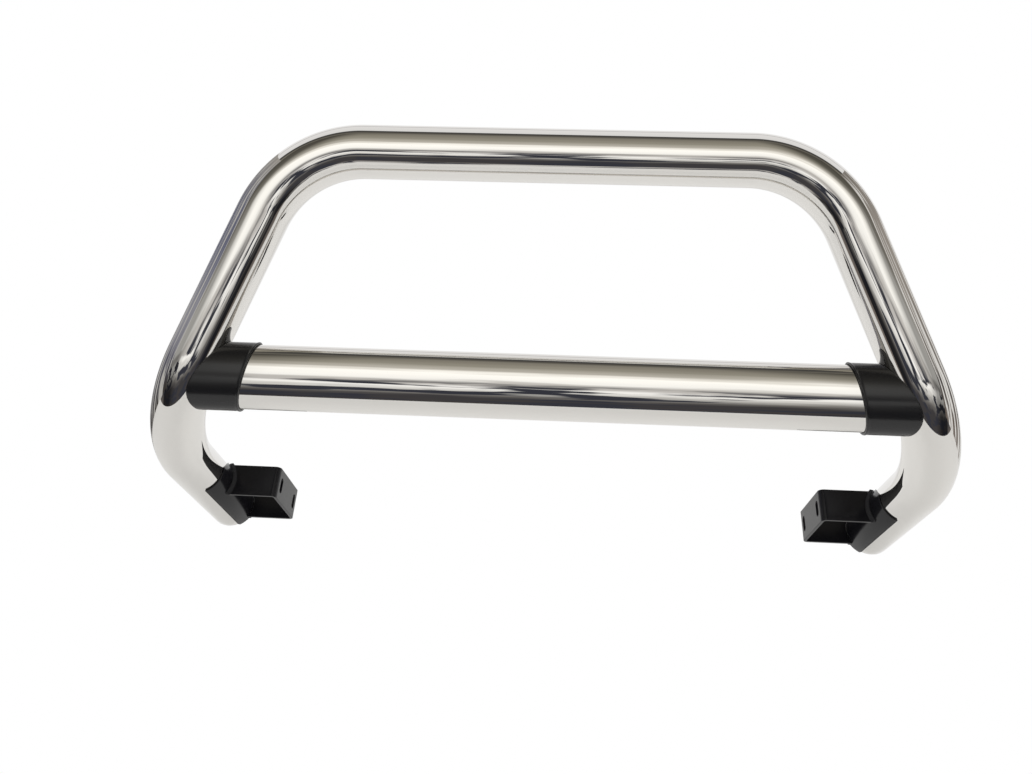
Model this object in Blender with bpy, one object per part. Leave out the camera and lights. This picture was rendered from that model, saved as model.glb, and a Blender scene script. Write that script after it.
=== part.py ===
"""Front grille guard for a light truck: a bent tube hoop with an oval crossbar and two rail brackets.

+Z is up, -Y is the front of the vehicle and +X is to the right of someone facing it. The hoop stands in
a vertical plane, and its two feet run back and down to the brackets. The origin is the centre of the
whole guard's bounding box. Lengths are in metres.
"""

import math

import bmesh
import bpy
from mathutils import Matrix, Vector

# Hoop: one round stainless tube
TUBE_RADIUS = 0.03805
TUBE_WALL = 0.002
SHOULDER_X = 0.379  # where the top rail's axis would meet a leg's axis
LEG_SPLAY = math.radians(23.3)  # from vertical
ELBOW_DROP = 0.409  # from the top rail's axis to the corner of leg and foot
FOOT_SLOPE = math.radians(25.0)  # below horizontal
FOOT_LENGTH = 0.330  # from that corner to the foot's cut end
SHOULDER_RADIUS = 0.160
ELBOW_RADIUS = 0.180
TUBE_SIDES = 36
BEND_STEPS = 11

# Crossbar: an oval tube, welded across the gap between its coped ends and the legs
CROSSBAR_DROP = 0.331
CROSSBAR_SET_BACK = 0.004  # behind the top rail's axis, where the legs already curve back
CROSSBAR_HALF_HEIGHT = 0.047
CROSSBAR_HALF_DEPTH = 0.0316
CROSSBAR_WALL = 0.002
WELD_ROOT = 0.0034
WELD_CROWN = 0.0007
OVAL_SIDES = 48

# Collar: a plastic sleeve over the crossbar's end and its weld, held by a screw at the back
COLLAR_WALL = 0.0026
COLLAR_MOUTH_X = 0.427
COLLAR_MOUTH_SLANT = math.radians(13.5)
COLLAR_RELIEF = 0.0012  # how much wider it is inside, where it covers the weld
COLLAR_RELIEF_REACH = 0.010  # from the leg's skin
SCREW_X = 0.447
SCREW_RADIUS = 0.0019
SCREW_LENGTH = 0.011
SCREW_HEAD_RADIUS = 0.0045
SCREW_HEAD_HEIGHT = 0.0024

# Saddle plate: bent round the inner side of a foot, with a seam weld along each long edge
SADDLE_THICKNESS = 0.002
SADDLE_LOWER = math.radians(-62.0)
SADDLE_UPPER = math.radians(47.0)
SADDLE_LENGTH = 0.169
SADDLE_UPPER_LENGTH = 0.130  # along its upper edge, because its front upper corner is cut off
SADDLE_SLANT = math.radians(8.0)  # where that cut starts
SADDLE_STEPS = 12  # above where the cut starts, and again below
SEAM = 0.0018

# Bracket: a channel bent from plate, with its web ends coped and welded onto the saddle
BRACKET_FACE_X = 0.4403
BRACKET_PLATE = 0.005
BRACKET_FRONT = 0.1229  # the front web's face, ahead of the foot's cut end
BRACKET_REAR = 0.0053
BRACKET_BOTTOM = -0.0231  # below the foot's axis, square to the foot
BRACKET_TOP = 0.0286
BRACKET_BEND = 0.009
BEND_CORNERS = 5
WEB_START = 0.015
SLOT_WIDTH = 0.011
SLOT_LENGTH = 0.0255
SLOT_SPACING = 0.076
FRONT_FILLET = 0.0055
REAR_FILLET = 0.0045
FILLET_STEPS = 12

# Plug pushed into the foot's cut end
PLUG_RECESS = 0.003
PLUG_FACE = 0.003
PLUG_DEPTH = 0.018
PLUG_WALL = 0.0025

GAP = 0.0003  # between neighbouring pieces

SIDES = {"left": -1, "right": 1}

# Directions along and square to a foot
FOOT = Vector((0, math.cos(FOOT_SLOPE), -math.sin(FOOT_SLOPE)))
FOOT_UP = Vector((0, math.sin(FOOT_SLOPE), math.cos(FOOT_SLOPE)))

# The origin is halfway from the top rail's front and top to the foot's rearmost and lowest points
FOOT_X = SHOULDER_X + ELBOW_DROP * math.tan(LEG_SPLAY)
RAIL_Y = (TUBE_RADIUS - FOOT_LENGTH * FOOT.y - TUBE_RADIUS * FOOT_UP.y) / 2
RAIL_Z = (ELBOW_DROP - FOOT_LENGTH * FOOT.z + TUBE_RADIUS * FOOT_UP.z - TUBE_RADIUS) / 2
SHOULDER = Vector((SHOULDER_X, RAIL_Y, RAIL_Z))
ELBOW = Vector((FOOT_X, RAIL_Y, RAIL_Z - ELBOW_DROP))
FOOT_END = ELBOW + FOOT * FOOT_LENGTH
CROSSBAR_Y = RAIL_Y + CROSSBAR_SET_BACK
CROSSBAR_Z = RAIL_Z - CROSSBAR_DROP
LEG_X_AT_CROSSBAR = SHOULDER_X + CROSSBAR_DROP * math.tan(LEG_SPLAY)


def mirrored(vector, side):
    return Vector((side * vector.x, vector.y, vector.z))


def material(name, colour, metallic, roughness):
    made = bpy.data.materials.new(name)
    made.use_nodes = True
    shader = made.node_tree.nodes["Principled BSDF"]
    shader.inputs["Base Color"].default_value = (*colour, 1)
    shader.inputs["Metallic"].default_value = metallic
    shader.inputs["Roughness"].default_value = roughness
    return made


def make_object(name, bm, look=None, matrix=None, cutters=()):
    """Makes an object of the mesh, with its faces pointing out, and cuts it with each cutter."""
    if matrix:
        bmesh.ops.transform(bm, matrix=matrix, verts=bm.verts)
    bmesh.ops.recalc_face_normals(bm, faces=bm.faces)
    mesh = bpy.data.meshes.new(name)
    bm.to_mesh(mesh)
    bm.free()
    mesh.shade_smooth()
    mesh.set_sharp_from_angle(angle=math.radians(35))
    obj = bpy.data.objects.new(name, mesh)
    bpy.context.scene.collection.objects.link(obj)
    if look:
        mesh.materials.append(look)
    for cutter in cutters:
        boolean(obj, "DIFFERENCE", cutter)
    return obj


def make_cutter(name, bm, matrix=None):
    """A solid that only shapes others, so it isn't rendered."""
    obj = make_object(name, bm, matrix=matrix)
    obj.hide_render = True
    obj.display_type = "WIRE"
    return obj


def boolean(obj, operation, other):
    modifier = obj.modifiers.new(other.name, "BOOLEAN")
    modifier.operation = operation
    modifier.object = other


def arc(radius, start, end, steps):
    """Points of an arc in the XY plane, about the origin, by angle from +X."""
    turns = [start + (end - start) * i / steps for i in range(steps + 1)]
    return [Vector((radius * math.cos(t), radius * math.sin(t), 0)) for t in turns]


def circle(radius, sides):
    return arc(radius, 0, 2 * math.pi, sides)[:-1]


def loop_of(bm, points):
    return [bm.verts.new(point) for point in points]


def join_loops(bm, first, second):
    """A band of faces between two closed loops with the same number of points."""
    count = len(first)
    for i in range(count):
        after = (i + 1) % count
        bm.faces.new((first[i], first[after], second[after], second[i]))


def bar(*outlines):
    """A solid through the outlines in turn, closed by a flat face at each end."""
    bm = bmesh.new()
    loops = [loop_of(bm, outline) for outline in outlines]
    for loop, following in zip(loops, loops[1:]):
        join_loops(bm, loop, following)
    bm.faces.new(loops[0])
    bm.faces.new(loops[-1])
    return bm


def sleeve(*outlines):
    """A wall that runs through the outlines in turn and back to the first, with a hole through it."""
    bm = bmesh.new()
    loops = [loop_of(bm, outline) for outline in outlines]
    for loop, following in zip(loops, loops[1:] + loops[:1]):
        join_loops(bm, loop, following)
    return bm


def prism(outline, vector):
    return bar(outline, [point + vector for point in outline])


def turned(profile, sides):
    """A solid of revolution about Z, through (radius, height) points from one end to the other."""
    outlines = []
    for radius, height in profile:
        outlines.append([point + Vector((0, 0, height)) for point in circle(radius, sides)])
    return bar(*outlines)


def bent_path(corners, radii):
    """Places along a path that runs straight between the corners and is bent round an arc at each.

    Each is a matrix whose +Z points along the path.
    """
    heading = (corners[1] - corners[0]).normalized()
    upright = heading.to_track_quat("Z", "X").to_matrix().to_4x4()
    places = [Matrix.Translation(corners[0]) @ upright]
    for corner, after, radius in zip(corners[1:], corners[2:], radii):
        new_heading = (after - corner).normalized()
        axis = heading.cross(new_heading).normalized()
        turn = heading.angle(new_heading)
        start = corner - heading * radius * math.tan(turn / 2)
        bend_start = Matrix.Translation(start - places[-1].translation) @ places[-1]
        centre = Matrix.Translation(start + axis.cross(heading) * radius)
        for i in range(BEND_STEPS + 1):
            rotation = Matrix.Rotation(turn * i / BEND_STEPS, 4, axis)
            places.append(centre @ rotation @ centre.inverted() @ bend_start)
        heading = new_heading
    places.append(Matrix.Translation(corners[-1] - places[-1].translation) @ places[-1])
    return places


def circles_along(path, radius, sides):
    return [[place @ point for point in circle(radius, sides)] for place in path]


def make_hoop(steel):
    left_half = [mirrored(corner, -1) for corner in (FOOT_END, ELBOW, SHOULDER)]
    radii = (ELBOW_RADIUS, SHOULDER_RADIUS, SHOULDER_RADIUS, ELBOW_RADIUS)
    path = bent_path(left_half + [SHOULDER, ELBOW, FOOT_END], radii)
    skin = circles_along(path, TUBE_RADIUS, TUBE_SIDES)
    bore = circles_along(path, TUBE_RADIUS - TUBE_WALL, TUBE_SIDES)
    make_object("hoop_tube", sleeve(*skin, *bore[::-1]), steel)


def leg_cutter(name, radius, side):
    """A solid bar bent like one leg and foot, which cuts what meets the leg."""
    path = bent_path([mirrored(corner, side) for corner in (SHOULDER, ELBOW, FOOT_END)], (ELBOW_RADIUS,))
    return make_cutter(name, bar(*circles_along(path, radius, 2 * TUBE_SIDES)))


def oval(halves, side, x, slant):
    """Points round the crossbar's section, on a plane that leans outwards towards its bottom."""
    half_height, half_depth = halves
    points = []
    for i in range(OVAL_SIDES):
        turn = 2 * math.pi * i / OVAL_SIDES
        rise = half_height * math.sin(turn)
        y = CROSSBAR_Y + half_depth * math.cos(turn)
        points.append(Vector((side * (x - rise * math.tan(slant)), y, CROSSBAR_Z + rise)))
    return points


def at_leg(halves, side, clear=0.0):
    """The crossbar's section on a plane parallel to the leg, this far inwards from its axis."""
    return oval(halves, side, LEG_X_AT_CROSSBAR - clear / math.cos(LEG_SPLAY), LEG_SPLAY)


def at_mouth(halves, side):
    return oval(halves, side, COLLAR_MOUTH_X, COLLAR_MOUTH_SLANT)


def crossbar_halves(growth):
    return CROSSBAR_HALF_HEIGHT + growth, CROSSBAR_HALF_DEPTH + growth


def screw_matrix(side):
    """Places +Z along the collar's screw, out of the back, with the origin on the crossbar's axis."""
    place = Matrix.Translation((side * SCREW_X, CROSSBAR_Y, CROSSBAR_Z))
    return place @ Matrix.Rotation(math.radians(-90), 4, "X")


def screw_hole(name, side):
    radius = SCREW_RADIUS + GAP
    start = CROSSBAR_HALF_DEPTH - SCREW_LENGTH
    bm = turned([(radius, start), (radius, start + 2 * SCREW_LENGTH)], 16)
    return make_cutter(name, bm, screw_matrix(side))


def make_crossbar(steel):
    skin, bore = crossbar_halves(0), crossbar_halves(-CROSSBAR_WALL)
    cutters = []
    for name, side in SIDES.items():
        cutters.append(leg_cutter("crossbar_cope_" + name, TUBE_RADIUS + WELD_ROOT + 2 * GAP, side))
        cutters.append(screw_hole("crossbar_hole_" + name, side))
    bm = sleeve(at_leg(skin, -1), at_leg(skin, 1), at_leg(bore, 1), at_leg(bore, -1))
    make_object("crossbar_tube", bm, steel, cutters=cutters)


def make_crossbar_weld(name, side, weld_metal):
    """A band that fills the gap at the leg and stands a little proud of the crossbar."""
    crown, root = crossbar_halves(WELD_CROWN), crossbar_halves(-CROSSBAR_WALL)
    bm = sleeve(at_mouth(crown, side), at_leg(crown, side), at_leg(root, side), at_mouth(root, side))
    leg = leg_cutter("weld_leg_" + name, TUBE_RADIUS + GAP, side)
    weld = make_object("crossbar_weld_" + name, bm, weld_metal, cutters=[leg])
    boolean(weld, "INTERSECT", leg_cutter("weld_reach_" + name, TUBE_RADIUS + GAP + WELD_ROOT, side))


def make_collar(name, side, plastic):
    bore, relief = crossbar_halves(GAP), crossbar_halves(GAP + COLLAR_RELIEF)
    skin = crossbar_halves(GAP + COLLAR_WALL)
    step = TUBE_RADIUS + COLLAR_RELIEF_REACH
    outside = [at_mouth(skin, side), at_leg(skin, side)]
    wide = [at_leg(relief, side), at_leg(relief, side, step)]
    narrow = [at_leg(bore, side, step), at_mouth(bore, side)]
    leg = leg_cutter("collar_cope_" + name, TUBE_RADIUS + GAP, side)
    cutters = [leg, screw_hole("collar_hole_" + name, side)]
    make_object("crossbar_collar_" + name, sleeve(*outside, *wide, *narrow), plastic, cutters=cutters)


def make_collar_screw(name, side, zinc):
    """A pan-head screw, from its tip to the top of its head."""
    seat = CROSSBAR_HALF_DEPTH + COLLAR_WALL + 2 * GAP
    profile = [
        (SCREW_RADIUS / 4, seat - SCREW_LENGTH),
        (SCREW_RADIUS, seat - SCREW_LENGTH + SCREW_RADIUS),
        (SCREW_RADIUS, seat),
        (SCREW_HEAD_RADIUS, seat),
        (SCREW_HEAD_RADIUS, seat + SCREW_HEAD_HEIGHT / 2),
        (SCREW_HEAD_RADIUS / 2, seat + SCREW_HEAD_HEIGHT),
    ]
    make_object("collar_screw_" + name, turned(profile, 16), zinc, screw_matrix(side))


def foot_matrix(side):
    """Places +X towards the middle of the guard, +Y up and square to the foot, and +Z out of its end."""
    axes = Matrix((mirrored(Vector((-1, 0, 0)), side), FOOT_UP, FOOT)).transposed().to_4x4()
    return Matrix.Translation(mirrored(FOOT_END, side)) @ axes


def saddle_section(turn):
    """The plate where it is cut by a half plane out from the foot's axis, at this turn about it."""
    inside = Vector((TUBE_RADIUS + GAP, 0, 0))
    outside = inside + Vector((SADDLE_THICKNESS, 0, 0))
    share = max(0, (turn - SADDLE_SLANT) / (SADDLE_UPPER - SADDLE_SLANT))
    length = Vector((0, 0, share * (SADDLE_LENGTH - SADDLE_UPPER_LENGTH) - SADDLE_LENGTH))
    rotation = Matrix.Rotation(turn, 4, "Z")
    return [rotation @ point for point in (inside, outside, outside + length, inside + length)]


def make_saddle(name, side, black):
    below, above = SADDLE_SLANT - SADDLE_LOWER, SADDLE_UPPER - SADDLE_SLANT
    turns = [SADDLE_LOWER + below * i / SADDLE_STEPS for i in range(SADDLE_STEPS)]
    turns += [SADDLE_SLANT + above * i / SADDLE_STEPS for i in range(SADDLE_STEPS + 1)]
    place = foot_matrix(side)
    make_object("saddle_plate_" + name, bar(*[saddle_section(turn) for turn in turns]), black, place)
    edges = {"lower": (SADDLE_LOWER, -1, SADDLE_LENGTH), "upper": (SADDLE_UPPER, 1, SADDLE_UPPER_LENGTH)}
    for edge, (turn, way, length) in edges.items():
        outward = arc(1, 0, turn, 1)[1]
        along = way * Vector((-outward.y, outward.x, 0))
        corner = outward * (TUBE_RADIUS + GAP) + along * GAP
        crown = corner + (along + outward) * SEAM * 0.6
        outline = [corner, corner + along * SEAM, crown, corner + outward * SEAM]
        bead = prism(outline, Vector((0, 0, -length)))
        make_object(f"saddle_weld_{edge}_{name}", bead, black, place)


def slot_outline(centre):
    """An obround in the foot's YZ plane, long along Y."""
    reach = (SLOT_LENGTH - SLOT_WIDTH) / 2
    round_end = arc(SLOT_WIDTH / 2, 0, math.pi, 8)
    top = [centre + Vector((0, reach + p.y, p.x)) for p in round_end]
    bottom = [centre - Vector((0, reach + p.y, p.x)) for p in round_end]
    return top + bottom


def bracket_corner(x, z, radius, start):
    """A quarter turn of the channel's outline, about a centre in the foot's XZ plane."""
    return [Vector((x + p.x, 0, z + p.y)) for p in arc(radius, start, start + math.pi / 2, BEND_CORNERS)]


def make_fillet(name, web, width, black, place):
    """A fillet weld round the saddle, against one web's outer face: the width's sign says which way."""
    skin = TUBE_RADIUS + SADDLE_THICKNESS + 2 * GAP
    corner = Vector((skin, 0, web + math.copysign(GAP, width)))
    along = Vector((0, 0, width))
    up = Vector((abs(width), 0, 0))
    section = [corner, corner + along, corner + 0.62 * (along + up), corner + up]
    start, end = math.asin(BRACKET_BOTTOM / skin), math.asin(BRACKET_TOP / skin)
    turns = [start + (end - start) * i / FILLET_STEPS for i in range(FILLET_STEPS + 1)]
    bm = bar(*[[Matrix.Rotation(turn, 4, "Z") @ point for point in section] for turn in turns])
    make_object(name, bm, black, place)


def make_bracket(name, side, black):
    """The channel's outline runs along its outside from the front web to the rear one, then back inside."""
    front, rear = -BRACKET_FRONT, -BRACKET_REAR
    face = FOOT_X - BRACKET_FACE_X
    bend_x = face - BRACKET_BEND
    inner_bend = BRACKET_BEND - BRACKET_PLATE
    outside = bracket_corner(bend_x, front + BRACKET_BEND, BRACKET_BEND, -math.pi / 2)
    outside += bracket_corner(bend_x, rear - BRACKET_BEND, BRACKET_BEND, 0)
    inside = bracket_corner(bend_x, front + BRACKET_BEND, inner_bend, -math.pi / 2)
    inside += bracket_corner(bend_x, rear - BRACKET_BEND, inner_bend, 0)
    front_end = [Vector((WEB_START, 0, front + BRACKET_PLATE)), Vector((WEB_START, 0, front))]
    rear_end = [Vector((WEB_START, 0, rear)), Vector((WEB_START, 0, rear - BRACKET_PLATE))]
    outline = front_end + outside + rear_end + inside[::-1]
    place = foot_matrix(side)
    saddle_skin = circle(TUBE_RADIUS + SADDLE_THICKNESS + 2 * GAP, 2 * TUBE_SIDES)
    saddle = prism(saddle_skin, Vector((0, 0, -SADDLE_LENGTH)))
    cutters = [make_cutter("bracket_cope_" + name, saddle, place)]
    middle = Vector((0, (BRACKET_TOP + BRACKET_BOTTOM) / 2, (front + rear) / 2))
    for end, step in (("front", -1), ("rear", 1)):
        centre = middle + Vector((face - 2 * BRACKET_PLATE, 0, step * SLOT_SPACING / 2))
        slot = prism(slot_outline(centre), Vector((3 * BRACKET_PLATE, 0, 0)))
        cutters.append(make_cutter(f"slot_{end}_{name}", slot, place))
    bottom = [point + Vector((0, BRACKET_BOTTOM, 0)) for point in outline]
    bm = prism(bottom, Vector((0, BRACKET_TOP - BRACKET_BOTTOM, 0)))
    make_object("rail_bracket_" + name, bm, black, place, cutters)
    make_fillet("bracket_weld_front_" + name, front, -FRONT_FILLET, black, place)
    make_fillet("bracket_weld_rear_" + name, rear, REAR_FILLET, black, place)


def make_plug(name, side, rubber):
    """A cup pushed into the foot's cut end, its face just inside the tube."""
    radius = (TUBE_RADIUS - TUBE_WALL) * math.cos(math.pi / TUBE_SIDES) - GAP
    profile = [
        (radius, -PLUG_RECESS),
        (radius, -PLUG_RECESS - PLUG_DEPTH),
        (radius - PLUG_WALL, -PLUG_RECESS - PLUG_DEPTH),
        (radius - PLUG_WALL, -PLUG_RECESS - PLUG_FACE),
    ]
    make_object("foot_plug_" + name, turned(profile, TUBE_SIDES), rubber, foot_matrix(side))


def main():
    for obj in list(bpy.data.objects):
        bpy.data.objects.remove(obj)
    steel = material("polished_stainless", (0.78, 0.77, 0.75), 1.0, 0.06)
    plastic = material("black_plastic", (0.018, 0.018, 0.02), 0.0, 0.38)
    black = material("black_paint", (0.012, 0.012, 0.014), 0.0, 0.3)
    weld_metal = material("bare_weld", (0.42, 0.4, 0.38), 1.0, 0.45)
    zinc = material("zinc_plate", (0.7, 0.71, 0.73), 1.0, 0.28)
    rubber = material("black_rubber", (0.02, 0.02, 0.02), 0.0, 0.7)
    make_hoop(steel)
    make_crossbar(steel)
    for name, side in SIDES.items():
        make_crossbar_weld(name, side, weld_metal)
        make_collar(name, side, plastic)
        make_collar_screw(name, side, zinc)
        make_saddle(name, side, black)
        make_bracket(name, side, black)
        make_plug(name, side, rubber)


main()
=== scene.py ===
"""A front grille guard for a light truck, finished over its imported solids.

The sections follow the guard as it is put together: the hoop, the crossbar and what covers its ends,
the brackets and their plates and welds, the plugs, and then the studio round it. Lengths are in metres.
"""

import bmesh
import bpy
import numpy as np
from mathutils import Matrix, Vector


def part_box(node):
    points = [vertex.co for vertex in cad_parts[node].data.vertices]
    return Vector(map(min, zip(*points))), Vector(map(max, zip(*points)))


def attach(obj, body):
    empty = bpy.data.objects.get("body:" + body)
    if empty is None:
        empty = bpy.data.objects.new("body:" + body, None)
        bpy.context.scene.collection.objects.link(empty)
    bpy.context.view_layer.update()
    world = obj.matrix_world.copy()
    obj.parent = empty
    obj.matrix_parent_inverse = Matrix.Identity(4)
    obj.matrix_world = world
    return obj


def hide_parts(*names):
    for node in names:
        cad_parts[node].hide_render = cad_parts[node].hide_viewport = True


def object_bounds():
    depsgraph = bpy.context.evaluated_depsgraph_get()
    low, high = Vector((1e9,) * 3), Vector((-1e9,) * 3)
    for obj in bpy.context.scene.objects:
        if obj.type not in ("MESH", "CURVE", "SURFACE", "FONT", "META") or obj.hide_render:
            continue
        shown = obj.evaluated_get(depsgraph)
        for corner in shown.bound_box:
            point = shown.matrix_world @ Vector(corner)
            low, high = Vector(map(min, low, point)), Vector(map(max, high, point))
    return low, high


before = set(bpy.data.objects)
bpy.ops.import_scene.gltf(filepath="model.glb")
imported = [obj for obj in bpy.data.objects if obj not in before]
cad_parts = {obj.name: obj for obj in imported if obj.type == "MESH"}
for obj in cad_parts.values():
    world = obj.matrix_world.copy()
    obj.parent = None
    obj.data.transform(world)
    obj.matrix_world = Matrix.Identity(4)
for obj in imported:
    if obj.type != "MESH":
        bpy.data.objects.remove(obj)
solid_low, solid_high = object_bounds()


# The hoop is one length of stainless tube, 76 mm across, drawn round four bends on a tube bender: two
# shoulders above and two elbows at the feet. Its cut ends are deburred, and it is polished to a mirror
# lengthwise, which leaves the faintest lines along it.
tube_radius = 0.03805
tube_wall = 0.002
leg_splay = np.radians(23.3)
foot_slope = np.radians(25.0)
elbow_drop = 0.409
foot_length = 0.330
shoulder_radius = 0.160
elbow_radius = 0.180

hoop_low, hoop_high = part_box("hoop_tube")
rail_height = hoop_high.z - tube_radius
rail_depth = hoop_low.y + tube_radius
foot_x = hoop_high.x - tube_radius
shoulder = np.array([foot_x - elbow_drop * np.tan(leg_splay), rail_depth, rail_height])
elbow = np.array([foot_x, rail_depth, rail_height - elbow_drop])
foot_way = np.array([0, np.cos(foot_slope), -np.sin(foot_slope)])
foot_up = np.array([0, np.sin(foot_slope), np.cos(foot_slope)])
foot_end = elbow + foot_length * foot_way
left = np.array([-1, 1, 1])


def unit(v):
    return v / np.linalg.norm(v, axis=-1, keepdims=True)


def swung(v, axis, turns):
    """v turned about a unit axis by each angle t.

    That is v cos t + (axis x v) sin t + axis (axis . v)(1 - cos t).
    """
    t = np.asarray(turns)[:, None]
    return v * np.cos(t) + np.cross(axis, v) * np.sin(t) + axis * (axis @ v) * (1 - np.cos(t))


def bent_line(corners, radii, spacing):
    """The middle of a tube that runs straight between corners, with an arc at each inner corner.

    An arc of radius r through an angle t starts r tan(t / 2) before its corner. Returns the points, and at
    each the two directions square to the line, which turn with it and don't twist round it.
    """
    arc_spacing = 0.005
    heading = unit(corners[1] - corners[0])
    side = unit(np.cross(heading, np.array([0.0, 0.6, 0.8])))
    points, sides, others = [], [], []
    here = corners[0]
    for corner, after, radius in zip(corners[1:], corners[2:], radii):
        new_heading = unit(after - corner)
        axis = unit(np.cross(heading, new_heading))
        turn = np.arccos(heading @ new_heading)
        start = corner - heading * radius * np.tan(turn / 2)
        steps = max(2, int(np.linalg.norm(start - here) / spacing))
        straight = here + np.linspace(0, 1, steps, endpoint=False)[:, None] * (start - here)
        turns = np.linspace(0, turn, int(turn * radius / arc_spacing))
        centre = start + np.cross(axis, heading) * radius
        arc = centre + swung(start - centre, axis, turns)
        arc_sides = swung(side, axis, turns)
        arc_headings = swung(heading, axis, turns)
        points += [straight, arc[:-1]]
        sides += [np.broadcast_to(side, straight.shape), arc_sides[:-1]]
        others.append(np.broadcast_to(np.cross(heading, side), straight.shape))
        others.append(np.cross(arc_headings, arc_sides)[:-1])
        here, heading, side = arc[-1], new_heading, arc_sides[-1]
    steps = max(2, int(np.linalg.norm(corners[-1] - here) / spacing))
    straight = here + np.linspace(0, 1, steps + 1)[:, None] * (corners[-1] - here)
    points.append(straight)
    sides.append(np.broadcast_to(side, straight.shape))
    others.append(np.broadcast_to(np.cross(heading, side), straight.shape))
    return np.concatenate(points), np.concatenate(sides), np.concatenate(others)


def mesh_of(name, rows, joined=False, lengthwise=None):
    """A mesh through rows of points, each row a closed ring, as quads.

    Row n meets row n + 1, and the last row meets the first if they are joined, or else a fan of triangles
    closes each end at its middle. The UV map has the share of the way round and the metres along.
    """
    count, around = rows.shape[:2]
    if lengthwise is None:
        steps = np.linalg.norm(np.diff(rows.mean(axis=1), axis=0), axis=1)
        lengthwise = np.concatenate([[0], np.cumsum(steps)])
    lengthwise = np.append(lengthwise, lengthwise[-1])
    i, j = np.meshgrid(np.arange(count if joined else count - 1), np.arange(around), indexing="ij")
    i, j = i.ravel(), j.ravel()
    i_next, j_next = (i + 1) % count, (j + 1) % around
    row, row_next = i * around, i_next * around
    quads = np.stack([row + j, row + j_next, row_next + j_next, row_next + j], axis=1)
    u, u_next = j / around, (j + 1) / around
    v, v_next = lengthwise[i], lengthwise[i + 1]
    uv = np.stack([u, v, u_next, v, u_next, v_next, u, v_next], axis=1).reshape(-1, 2)
    points = rows.reshape(-1, 3)
    loops, sizes = quads.ravel(), np.full(len(quads), 4)
    if not joined:
        middles = np.stack([rows[0].mean(axis=0), rows[-1].mean(axis=0)])
        points = np.concatenate([points, middles])
        k = np.arange(around)
        k_next = (k + 1) % around
        last = (count - 1) * around
        first_fan = np.stack([k_next, k, np.full(around, len(points) - 2)], axis=1)
        last_fan = np.stack([last + k, last + k_next, np.full(around, len(points) - 1)], axis=1)
        fans = np.concatenate([first_fan, last_fan])
        loops = np.concatenate([loops, fans.ravel()])
        sizes = np.concatenate([sizes, np.full(len(fans), 3)])
        fan_v = np.repeat([lengthwise[0], lengthwise[-2]], around)
        fan_u = np.tile(k / around, 2)
        fan_uv = np.stack([fan_u, fan_v, fan_u, fan_v, fan_u, fan_v], axis=1).reshape(-1, 2)
        uv = np.concatenate([uv, fan_uv])
    a, b, c = points[loops[: 4 * len(quads)].reshape(-1, 4)[:, :3]].transpose(1, 0, 2)
    outward = np.einsum("ij,ij->i", np.cross(b - a, c - a), (a + b + c) / 3 - points.mean(axis=0)).sum()
    return put_mesh(name, points, loops, sizes, uv, turn_round=outward < 0)


def put_mesh(name, points, loops, sizes, uv, turn_round=False):
    """Puts whole arrays into a mesh. Turned round, each face's corners run the other way."""
    starts = np.concatenate([[0], np.cumsum(sizes)[:-1]])
    if turn_round:
        face = np.repeat(np.arange(len(sizes)), sizes)
        order = 2 * starts[face] + sizes[face] - 1 - np.arange(len(loops))
        loops, uv = loops[order], uv[order]
    mesh = bpy.data.meshes.new(name)
    mesh.vertices.add(len(points))
    mesh.vertices.foreach_set("co", points.astype(np.float32).ravel())
    mesh.loops.add(len(loops))
    mesh.loops.foreach_set("vertex_index", loops.astype(np.int32))
    mesh.polygons.add(len(sizes))
    mesh.polygons.foreach_set("loop_start", starts.astype(np.int32))
    mesh.uv_layers.new(name="UVMap").uv.foreach_set("vector", uv.astype(np.float32).ravel())
    mesh.update(calc_edges=True)
    mesh.validate()
    mesh.shade_smooth()
    piece = bpy.data.objects.new(name, mesh)
    bpy.context.scene.collection.objects.link(piece)
    return piece


def finish(piece, look, slot, *nodes):
    """Gives a new piece its material, and its place on the guard in the stead of its solid."""
    piece.data.materials.append(look)
    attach(piece, "root")
    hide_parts(*nodes)


def ring_angles(sides):
    return np.linspace(0, 2 * np.pi, sides, endpoint=False)


# The tube's skin, with a little round at each cut edge and the bore turned in behind it
corners = np.stack([foot_end * left, elbow * left, shoulder * left, shoulder, elbow, foot_end])
line, line_sides, line_others = bent_line(
    corners, (elbow_radius, shoulder_radius, shoulder_radius, elbow_radius), 0.02
)
edge = 0.0006
bore_seen = 0.030  # how far in the bore is carried, past the plug
edge_turns = np.linspace(0, np.pi / 2, 5)[1:]
closing, opening = edge * (1 - np.sin(edge_turns)), edge * (1 - np.cos(edge_turns))
rim_depth = np.concatenate([[bore_seen, edge], closing, opening])
rim_radius = tube_radius - np.concatenate([[tube_wall, tube_wall], tube_wall - opening, closing])
radii = np.concatenate([rim_radius, np.full(len(line) - 2, tube_radius), rim_radius[::-1]])
first_way, last_way = unit(line[1] - line[0]), unit(line[-1] - line[-2])
middles = np.concatenate(
    [line[0] + rim_depth[:, None] * first_way, line[1:-1], line[-1] - rim_depth[::-1, None] * last_way]
)
rims = len(rim_depth)
pick = np.concatenate([np.zeros(rims, int), np.arange(1, len(line) - 1), np.full(rims, len(line) - 1)])
turns = ring_angles(144)[None, :, None]
spokes = np.cos(turns) * line_sides[pick][:, None] + np.sin(turns) * line_others[pick][:, None]
travel = np.concatenate([[0], np.cumsum(np.linalg.norm(np.diff(middles, axis=0), axis=1))])
hoop = mesh_of("hoop", middles[:, None] + radii[:, None, None] * spokes, lengthwise=travel)


def add_node(tree, kind, settings=None, **inputs):
    """Adds a shader node. An input's value is a number, a colour or another node's socket."""
    made = tree.nodes.new(kind)
    for name, value in (settings or {}).items():
        setattr(made, name, value)
    for name, value in inputs.items():
        socket = made.inputs[name.replace("_", " ")]
        if isinstance(value, bpy.types.NodeSocket):
            tree.links.new(value, socket)
        else:
            socket.default_value = value
    return made


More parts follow.
